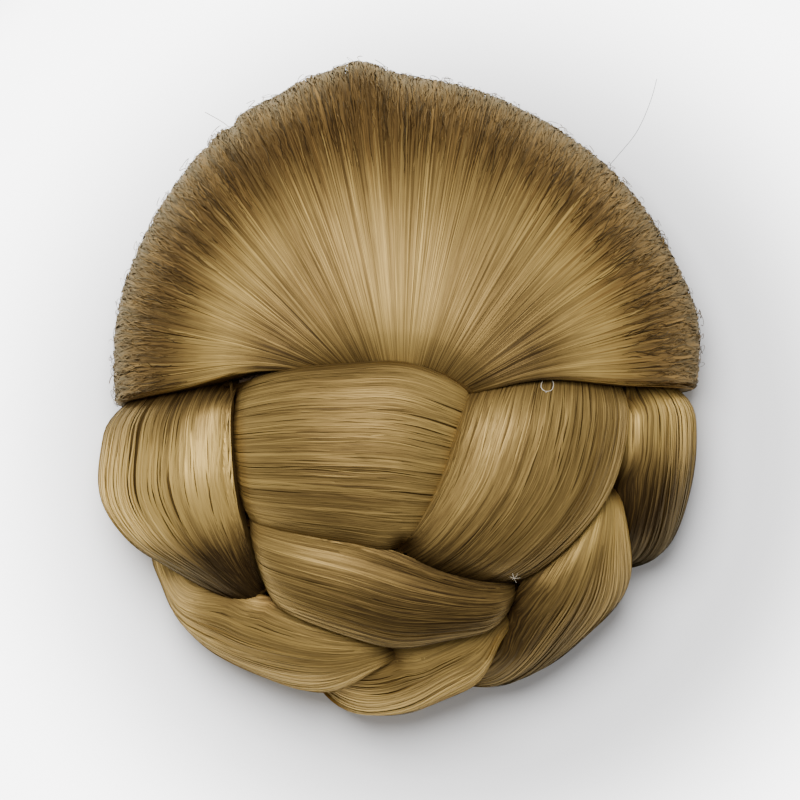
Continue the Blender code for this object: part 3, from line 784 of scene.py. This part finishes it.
def lock_hair(name, laid, rng):
    """The hair over one lock."""
    form, look, strips = FORMS[name], LOCK_HAIR, laid.strips
    root = np.sin(even_spread(rng, strips) * math.pi / 2.0) * look.roots
    share = (root + 1.0) / 2.0
    along = np.broadcast_to(np.linspace(*look.run, laid.stations), (strips, laid.stations))
    loose = np.where(rng.uniform(0.0, 1.0, strips) < look.loose_share, 1.0, 0.0)
    drift = rng.normal(0.0, look.drift, strips) * (1.0 + look.loose_drift * loose)
    drift = drift[:, None] * (along - 0.5)
    phase = drawn(rng, (0.0, TURN), strips)
    sway = waves(rng, look.sway, along, phase)
    sway = sway + waves(rng, look.fine_sway, along, 2.0 * phase)
    across = np.clip(root[:, None] + drift + sway, -SIDE_LIMIT, SIDE_LIMIT)
    places = form.places(along, across)
    clump = clumped(rng, look.clumps, share)
    lift = rng.uniform(*look.lift, strips) + clump + look.loose_lift * loose
    ripple = waves(rng, look.ripple, along, phase)
    pressed = pressed_depth(name, places)
    levels = form.top(along, across) + lift[:, None] + ripple - pressed
    hollow, lowered = hollows_at(name, on_dome(places, levels))
    levels = levels - lowered
    fade = fades(rng, along, phase)
    # The random tone of each strip, plus painted highlight and shade along the lock
    tone = tones(rng, look.tones, share)[:, None] + smooth_values(PAINTED_LIGHT[name], along)
    tone = tone + fade + look.loose_tone * loose[:, None]
    # Painted shade on strips that lie low, under those over them
    under = 1.0 - look.under_shade * smooth_step(*UNDER_LIFT, -lift)[:, None]
    # Painted shade: hair pressed into a crevice or lying in a hollow is darker
    unshaded_share = (1.0 - DARKEST_SHADE * smooth_step(*SHADE_PRESS, pressed)) * (1.0 - hollow)
    shade = np.ones(along.shape + (4,))
    shade[..., 0] = np.clip(tone, 0.0, 1.0)
    shade[..., 1] = 0.0
    # Blue is what is left unshaded: painted shade under higher strips, in crevices and hollows, and
    # where the painted shade along the lock runs past the darkest tone
    shade[..., 2] = under * unshaded_share * (1.0 - np.clip(-tone, 0.0, DARKEST_SHADE))
    widths = rng.uniform(*look.widths, strips) * (1.0 - LOOSE_THINNER * loose)
    widths = widths[:, None] * tapered(look.taper, along)
    rolls = rng.normal(0.0, ROLL_SPREAD, strips)
    sides = sides_on(form, along, across, levels)
    points = on_dome(places, levels)
    return strip_mesh(name + "_hair", points, sides, widths, rolls, shade, laid.length)


def rim_share(places, ragged):
    """How much a place on the fan is in its ashy rim zone, also painted as shade, with a ragged
    inner border.
    """
    down, heading = down_and_heading(places)
    return smooth_step(*RIM_ZONE, down + ragged + RIM_NEARER_TOP * heading[..., 1] ** 2)


def fan_sheen(places):
    """Painted highlight and shade of the lit arc over the fan, which lies nearer the rim at its two
    sides.
    """
    down, heading = down_and_heading(places)
    aside = heading[..., 0]
    out = np.sin(np.minimum(down, math.pi / 2.0))
    from_arc = (out - SHEEN.out - SHEEN.out_right * aside) / SHEEN.reach
    lit = (SHEEN.light + SHEEN.light_right * aside) * np.exp(-(from_arc**2))
    right_rim = SHEEN.rim_light * np.maximum(aside, 0.0) * smooth_step(*SHEEN.rim_from, out)
    near_gather = 1.0 - smooth_step(*SHEEN.gather_to, out)
    return right_rim + aside**2 * (lit - SHEEN.gather_shade * near_gather)


def tuft_rise(across, places):
    """How far the fan's tufts stand out at its rim, in millimetres."""
    compass = FAN_LEFT_DEG + (FAN_RIGHT_DEG - FAN_LEFT_DEG) * (across + 1.0) / 2.0
    rise = sum(
        height * np.exp(-(((compass - at) / spread) ** 2)) for at, height, spread in RIM_TUFTS
    )
    return rise * smooth_step(*TUFT_DOWN, down_and_heading(places)[0])


def fan_hair(name, laid, loose_share, rng):
    """A layer of the fan's hair, crimped near its rim."""
    form, look, strips = FORMS["crown_fan"], FAN_HAIR, laid.strips
    root = even_spread(rng, strips) * look.roots
    share = (root + 1.0) / 2.0
    along = np.linspace(0.0, 1.0, laid.stations) ** look.station_power
    along = np.broadcast_to(along, (strips, laid.stations))
    near_rim = 1.0 - smooth_step(*look.near_rim, along)
    phase = drawn(rng, (0.0, TURN), strips)
    drift = rng.normal(0.0, look.drift, strips)[:, None] * (look.still_at - along)
    wander = waves(rng, look.wander, along, phase) * (1.0 - along)
    crimp = waves(rng, look.crimp, along, phase) * near_rim
    across = root[:, None] + drift + wander + crimp
    across = np.clip(across, -look.side_limit, look.side_limit)
    places = form.places(along, across)
    rim = rim_share(places, rng.normal(0.0, RIM_RAGGED, strips)[:, None])
    clump = clumped(rng, look.clumps, share)
    loose = np.where(rng.uniform(0.0, 1.0, strips) < loose_share, 1.0, 0.0)
    lift = rng.uniform(*look.lift, strips) + clump + look.loose_lift * loose
    rough = waves(rng, look.rough, along, 3.0 * phase) * near_rim
    levels = form.top(along, across) + lift[:, None] * (1.0 - look.settle * along) + rough
    levels = levels - pressed_depth("crown_fan", places) + tuft_rise(across, places)
    fade = fades(rng, along, phase)
    # The random tone of each strip, plus painted highlight and shade along the fan and its lit arc
    tone = tones(rng, look.tones, share)[:, None] + smooth_values(PAINTED_LIGHT["crown_fan"], along)
    mixed = rng.normal(0.0, look.rim_mixed, strips)[:, None] * near_rim
    tone = tone + fade + mixed + look.loose_tone * loose[:, None] + fan_sheen(places)
    # Painted shade on the rim's edge where it bends down, less towards the right
    down, heading = down_and_heading(places)
    edge = look.edge_shade - look.edge_lit_right * heading[..., 0]
    edge = edge * smooth_step(*look.edge_down, down)
    # Painted shade on strips that lie low, under those over them
    under = 1.0 - look.under_shade * smooth_step(*UNDER_LIFT, -lift)[:, None]
    shade = np.ones(along.shape + (4,))
    shade[..., 0] = np.clip(tone, 0.0, 1.0)
    shade[..., 1] = rim
    shade[..., 2] = under * (1.0 - edge)
    widths = rng.uniform(*look.widths, strips) * (1.0 - LOOSE_THINNER * loose)
    widths = widths[:, None] * (1.0 - look.narrowing * along)
    rolls = rng.normal(0.0, ROLL_SPREAD, strips)
    sides = sides_on(form, along, across, levels)
    points = on_dome(places, levels)
    return strip_mesh(name, points, sides, widths, rolls, shade, laid.length)


def rim_fuzz(laid, rng):
    """Short crimped hairs that lie over the fan's rim zone."""
    form, look, count = FORMS["crown_fan"], FUZZ, laid.strips
    root = (even_spread(rng, count) * look.roots)[:, None]
    run = np.broadcast_to(np.linspace(0.0, 1.0, laid.stations), (count, laid.stations))
    start = drawn(rng, look.start, count)
    reach = drawn(rng, look.reach, count)
    phase = drawn(rng, (0.0, TURN), count)
    along = np.clip(start - reach * (run - 0.5), LEAST_ALONG, 1.0)
    lean = rng.normal(0.0, look.lean, count)[:, None] * (run - 0.5)
    crimp = drawn(rng, look.crimp, count)
    crimp = crimp * np.sin(run * drawn(rng, look.crimp_pace, count) + phase)
    across = np.clip(root + lean + crimp, -SIDE_LIMIT, SIDE_LIMIT)
    ripple = look.ripple * np.sin(look.ripple_pace * run + 2.0 * phase)
    stand = drawn(rng, look.stand, count) + ripple
    places = form.places(along, across)
    levels = form.top(along, across) + stand - look.sunk + tuft_rise(across, places)
    edge = smooth_step(*look.edge_down, down_and_heading(places)[0])
    shade = np.ones(run.shape + (4,))
    shade[..., 0] = drawn(rng, look.tone, count)
    shade[..., 1] = rim_share(places, rng.normal(0.0, RIM_RAGGED, count)[:, None])
    # Painted shade where the rim bends down
    shade[..., 2] = 1.0 - look.edge_shade * edge
    widths = drawn(rng, look.widths, count) * tapered(look.taper, run)
    rolls = rng.normal(0.0, look.roll, count)
    sides = sides_on(form, along, across, levels)
    points = on_dome(places, levels)
    return strip_mesh("rim_fuzz", points, sides, widths, rolls, shade, laid.length)


def rim_curls(laid, rng):
    """Tiny curls that stand out along the fan's rim."""
    form, look, count = FORMS["crown_fan"], CURLS, laid.strips
    root = drawn(rng, (-look.roots, look.roots), count)
    run = np.broadcast_to(np.linspace(0.0, 1.0, laid.stations), (count, laid.stations))
    start = drawn(rng, look.start, count)
    reach = drawn(rng, look.reach, count)
    turns = drawn(rng, look.turns, count)
    phase = drawn(rng, (0.0, TURN), count)
    swing = drawn(rng, look.swing, count)
    along = np.clip(start - reach * run, LEAST_ALONG, 1.0)
    across = root + swing * (np.sin(TURN * turns * run + phase) - np.sin(phase))
    across = np.clip(across, -SIDE_LIMIT, SIDE_LIMIT)
    stand = drawn(rng, look.stand, count) ** 2 * look.most_stand
    bow = np.sin(math.pi * run * drawn(rng, look.bow, count))
    places = form.places(along, across)
    levels = form.top(along, across) - look.sunk + stand * bow + tuft_rise(across, places)
    shade = np.ones(run.shape + (4,))
    shade[..., 0] = drawn(rng, look.tone, count)
    widths = np.broadcast_to(drawn(rng, look.widths, count), run.shape)
    rolls = rng.uniform(0.0, TURN, count)
    sides = sides_on(form, along, across, levels)
    points = on_dome(places, levels)
    return strip_mesh("rim_curls", points, sides, widths, rolls, shade, laid.length)


def seen_points(spots):
    """Points that show at x, y from above, at the height that the dome has there at a level."""
    x, y, level = np.asarray(spots, float).T
    flat = (x / (MID_AXES[0] + level)) ** 2 + (y / (MID_AXES[1] + level)) ** 2
    z = WIDEST_Z + (MID_AXES[2] + level) * np.sqrt(np.maximum(0.0, 1.0 - flat))
    return np.stack((x, y, z), axis=-1) + AXIS


def stray_hair(name, width, tone, spots):
    """One loose hair or thread through the spots, each x, y and level."""
    stations = STRAY_STATIONS * len(spots)
    points = smooth_values(seen_points(spots), np.linspace(0.0, 1.0, stations))[None]
    sides = np.cross(np.gradient(points, axis=1), (0.0, 0.0, 1.0))
    shade = np.tile((tone, 0.0, 1.0, 1.0), (1, stations, 1))
    widths = np.full((1, stations), width)
    return strip_mesh(name, points, sides, widths, np.zeros(1), shade, STRAY_LENGTH)


def mix_colour(tree, mode, factor, first, second):
    """A colour mix node's result. Each input is a socket or a value."""
    node = tree.nodes.new("ShaderNodeMix")
    node.data_type = "RGBA"
    node.blend_type = mode
    for name, value in (("Factor_Float", factor), ("A_Color", first), ("B_Color", second)):
        socket = next(s for s in node.inputs if s.identifier == name)
        if isinstance(value, bpy.types.NodeSocket):
            tree.links.new(value, socket)
        else:
            socket.default_value = value
    return next(s for s in node.outputs if s.identifier == "Result_Color")


# Golden hair from its darkest tone to its lightest, and what multiplies it at the rim and in gaps:
# the rim's ashy colour, also painted darker as shade, and painted shade in gaps, crevices and
# hollows
TONE_STOPS = (
    (0.0, (0.026, 0.0145, 0.0058, 1.0)),
    (0.35, (0.117, 0.073, 0.0228, 1.0)),
    (0.65, (0.220, 0.145, 0.046, 1.0)),
    (1.0, (0.390, 0.262, 0.078, 1.0)),
)
ASH_AND_SHADE = (0.44, 0.375, 0.35, 1.0)
PAINTED_SHADE = (0.30, 0.22, 0.18, 1.0)
WHITE = (1.0, 1.0, 1.0, 1.0)
# Fine streaks: how their noise is stretched across and along the hair, and how strong they are
STREAK_STRETCH = (6.5, 0.15, 1.0)
STREAK_STRENGTH = 1.1


def hair_material():
    """Golden synthetic hair: strips have their own tones and fine streaks, and the rim is ashy.

    The tones also carry painted highlight and shade, the rim's ash is partly painted shade, and
    painted shade darkens crevices, hollows, lower strips and the rim's edge.
    """
    made = bpy.data.materials.new("golden_hair")
    made.use_nodes = True
    tree = made.node_tree
    shader = tree.nodes["Principled BSDF"]
    flow = tree.nodes.new("ShaderNodeAttribute")
    flow.attribute_name = "flow"
    stretch = tree.nodes.new("ShaderNodeVectorMath")
    stretch.operation = "MULTIPLY"
    stretch.inputs[1].default_value = STREAK_STRETCH
    tree.links.new(flow.outputs["Vector"], stretch.inputs[0])
    streaks = tree.nodes.new("ShaderNodeTexNoise")
    streaks.inputs["Scale"].default_value = 1.0
    streaks.inputs["Detail"].default_value = 3.0
    streaks.inputs["Roughness"].default_value = 0.65
    tree.links.new(stretch.outputs["Vector"], streaks.inputs["Vector"])

    shade = tree.nodes.new("ShaderNodeAttribute")
    shade.attribute_name = "shade"
    split = tree.nodes.new("ShaderNodeSeparateColor")
    tree.links.new(shade.outputs["Color"], split.inputs["Color"])
    centred = tree.nodes.new("ShaderNodeMath")
    centred.operation = "MULTIPLY_ADD"
    centred.inputs[1].default_value = STREAK_STRENGTH
    centred.inputs[2].default_value = -STREAK_STRENGTH / 2.0
    tree.links.new(streaks.outputs["Fac"], centred.inputs[0])
    tone = tree.nodes.new("ShaderNodeMath")
    tone.operation = "ADD"
    tree.links.new(centred.outputs["Value"], tone.inputs[0])
    tree.links.new(split.outputs["Red"], tone.inputs[1])
    ramp = tree.nodes.new("ShaderNodeValToRGB")
    tree.links.new(tone.outputs["Value"], ramp.inputs["Fac"])
    elements = ramp.color_ramp.elements
    while len(elements) < len(TONE_STOPS):
        elements.new(0.5)
    for element, (place, colour) in zip(elements, TONE_STOPS):
        element.position = place
        element.color = colour
    # Green marks the rim, whose ashy colour is also painted darker as shade
    ash_and_shade = mix_colour(tree, "MIX", split.outputs["Green"], WHITE, ASH_AND_SHADE)
    # Blue is the share left unshaded: the rest is painted shade
    painted_shade = mix_colour(tree, "MIX", split.outputs["Blue"], PAINTED_SHADE, WHITE)
    colour = mix_colour(tree, "MULTIPLY", 1.0, ramp.outputs["Color"], ash_and_shade)
    colour = mix_colour(tree, "MULTIPLY", 1.0, colour, painted_shade)
    tree.links.new(colour, shader.inputs["Base Color"])

    bump = tree.nodes.new("ShaderNodeBump")
    bump.inputs["Strength"].default_value = 0.6
    bump.inputs["Distance"].default_value = 0.05 * MM
    tree.links.new(streaks.outputs["Fac"], bump.inputs["Height"])
    tree.links.new(bump.outputs["Normal"], shader.inputs["Normal"])
    shader.inputs["Metallic"].default_value = 0.5
    shader.inputs["Roughness"].default_value = 0.5
    shader.inputs["Specular IOR Level"].default_value = 0.2
    shader.inputs["Specular Tint"].default_value = (1.0, 0.82, 0.42, 1.0)
    return made


def net_material():
    """Dark brown stretch net: threads round small cells."""
    made = plain_material("cap_net", (0.09, 0.055, 0.03, 1.0), 0.8)
    tree = made.node_tree
    shader = tree.nodes["Principled BSDF"]
    where = tree.nodes.new("ShaderNodeTexCoord")
    cells = tree.nodes.new("ShaderNodeTexVoronoi")
    cells.feature = "DISTANCE_TO_EDGE"
    cells.inputs["Scale"].default_value = 480.0
    tree.links.new(where.outputs["Object"], cells.inputs["Vector"])
    ramp = tree.nodes.new("ShaderNodeValToRGB")
    tree.links.new(cells.outputs["Distance"], ramp.inputs["Fac"])
    low, high = ramp.color_ramp.elements
    low.position, low.color = 0.06, (0.13, 0.08, 0.045, 1.0)
    high.position, high.color = 0.16, (0.035, 0.02, 0.012, 1.0)
    tree.links.new(ramp.outputs["Color"], shader.inputs["Base Color"])
    return made


def plain_material(name, colour, roughness):
    """A Principled material of one colour."""
    made = bpy.data.materials.new(name)
    made.use_nodes = True
    shader = made.node_tree.nodes["Principled BSDF"]
    shader.inputs["Base Color"].default_value = colour
    shader.inputs["Roughness"].default_value = roughness
    return made


def dress_hair(hair):
    """Replaces each solid of hair by its core and the hair laid over it."""
    for place, name in enumerate(sorted(FORMS)):
        rng = np.random.default_rng(SEED + place)
        fan = name == "crown_fan"
        core = core_mesh(name, FORMS[name], CORE_COLUMNS, FAN_CORE_ROWS if fan else CORE_ROWS)
        piece = add_piece(name + "_core", core, hair)
        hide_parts(name)
        if fan:
            for layer, loose_share in FAN_LAYERS.items():
                add_piece(layer, fan_hair(layer, FAN_LAID, loose_share, rng), hair)
            add_piece("rim_fuzz", rim_fuzz(FUZZ_LAID, rng), hair)
            add_piece("rim_curls", rim_curls(CURLS_LAID, rng), hair)
        else:
            add_piece(name + "_hair", lock_hair(name, HAIR_LAID[name], rng), hair)


# Loose hairs and the loop of thread: width, tone, and their spots as x, y and level
STRAYS = {
    "stray_hair_long": (0.11, 0.25, (
        (42.8, 45.1, 4.0), (47.3, 50.4, 6.0), (49.2, 53.5, 6.0), (50.6, 56.7, 6.0),
        (51.7, 59.9, 6.0), (52.4, 62.7, 6.0),
    )),
    "stray_hair_left": (0.12, 0.4, ((-33.5, 51.0, 4.0), (-35.7, 53.5, 5.0), (-39.8, 55.9, 6.0))),
    "stray_hair_side": (0.12, 0.4, ((-34.0, 50.0, 3.0), (-36.3, 51.4, 5.0), (-38.6, 51.0, 6.0))),
}

# The pale loop of thread under the fan's border, and other pale ends: width, and spots as before
THREADS = {
    "thread_loop": (0.15, (
        (28.9, 1.2, 2.6), (28.5, 0.4, 3.6), (28.5, -0.4, 4.1), (29.1, -1.0, 4.3), (29.9, -1.1, 4.3),
        (30.6, -0.8, 4.2), (30.9, -0.1, 4.0), (30.9, 0.7, 3.4), (30.5, 1.3, 2.6),
    )),
    "tip_hair_1": (0.07, ((22.2, -38.6, 3.9), (23.2, -38.9, 4.7), (24.3, -38.8, 4.5))),
    "tip_hair_2": (0.07, ((22.7, -37.8, 4.0), (23.0, -38.8, 4.8), (23.5, -39.8, 4.4))),
    "tip_hair_3": (0.06, ((23.8, -37.9, 4.2), (23.4, -38.6, 4.8), (22.6, -39.2, 4.3))),
    "thread_tail": (0.09, ((29.5, -1.1, 4.3), (29.3, -1.9, 4.5), (29.2, -2.8, 4.3))),
}


def dress_rest(hair):
    """The loose hairs and the thread, and the finish of the net cap and the combs."""
    for name, (width, tone, spots) in STRAYS.items():
        add_piece(name, stray_hair(name, width, tone, spots), hair)
    thread = plain_material("pale_thread", (0.33, 0.29, 0.22, 1.0), 0.5)
    for name, (width, spots) in THREADS.items():
        add_piece(name, stray_hair(name, width, 1.0, spots), thread)
    plastic = plain_material("comb_plastic", (0.045, 0.022, 0.010, 1.0), 0.25)
    finishes = {"foundation_cap": ("cap_net", net_material())}
    finishes["comb_upper"] = finishes["comb_lower"] = ("comb_plastic", plastic)
    for node, (slot, material) in finishes.items():
        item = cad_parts[node]
        item.data.materials.clear()
        item.data.materials.append(material)


# How much the floor glows at distances from the middle of its shaded part, in metres
GLOW_STOPS = ((0.0, 0.0), (0.062, 0.0), (0.112, 1.0), (0.124, 1.0), (0.150, 0.0))
GLOW_MIDDLE = (0.012, -0.012, 0.0)
GLOW_STRENGTH = 5.0
FLOOR_SIZE = 4.0

# The one light's place, size and power, the room's own light, and the camera's sensor
KEY_PLACE = (-0.10, 0.30, 0.95)
KEY_SIZE = 0.55
KEY_POWER = 21.0
ROOM_LIGHT = 0.40
SENSOR_WIDTH = 36.0


def floor_material():
    """A pale matt floor that glows a little away from the piece, to show nearly white there."""
    made = plain_material("pale_floor", (0.86, 0.86, 0.87, 1.0), 0.9)
    tree = made.node_tree
    shader = tree.nodes["Principled BSDF"]
    where = tree.nodes.new("ShaderNodeTexCoord")
    away = tree.nodes.new("ShaderNodeVectorMath")
    away.operation = "DISTANCE"
    away.inputs[1].default_value = GLOW_MIDDLE
    tree.links.new(where.outputs["Object"], away.inputs[0])
    glow = tree.nodes.new("ShaderNodeValToRGB")
    glow.color_ramp.interpolation = "EASE"
    tree.links.new(away.outputs["Value"], glow.inputs["Fac"])
    elements = glow.color_ramp.elements
    while len(elements) < len(GLOW_STOPS):
        elements.new(0.5)
    for element, (place, amount) in zip(elements, GLOW_STOPS):
        element.position = place
        element.color = (amount, amount, amount, 1.0)
    tree.links.new(glow.outputs["Color"], shader.inputs["Emission Color"])
    shader.inputs["Emission Strength"].default_value = GLOW_STRENGTH
    return made


def area_light(name, place, size, power):
    """A soft round light that faces the hairpiece."""
    light = bpy.data.lights.new(name, "AREA")
    light.shape = "DISK"
    light.size = size
    light.energy = power
    item = bpy.data.objects.new(name, light)
    item.location = place
    item.rotation_euler = (-Vector(place)).to_track_quat("-Z", "Y").to_euler()
    bpy.context.scene.collection.objects.link(item)


def stage():
    """A pale floor, soft light from above and the photograph's camera, straight above."""
    bpy.ops.mesh.primitive_plane_add(size=FLOOR_SIZE, location=(0.0, 0.0, 0.0))
    floor = bpy.context.object
    floor.name = "floor"
    floor.data.materials.append(floor_material())

    area_light("key", KEY_PLACE, KEY_SIZE, KEY_POWER)
    world = bpy.data.worlds.new("soft_room")
    world.use_nodes = True
    background = world.node_tree.nodes["Background"]
    background.inputs["Color"].default_value = WHITE
    background.inputs["Strength"].default_value = ROOM_LIGHT
    bpy.context.scene.world = world

    camera = bpy.data.cameras.new("camera")
    camera.sensor_width = SENSOR_WIDTH
    camera.lens = SENSOR_WIDTH * CAMERA_HEIGHT / VIEW_WIDTH
    item = bpy.data.objects.new("camera", camera)
    height = CAMERA_HEIGHT + WIDEST_Z * MM
    item.location = (AXIS[0] * MM, (AXIS[1] + VIEW_SHIFT) * MM, height)
    bpy.context.scene.collection.objects.link(item)
    bpy.context.scene.camera = item


hair = hair_material()
dress_hair(hair)
dress_rest(hair)
stage()
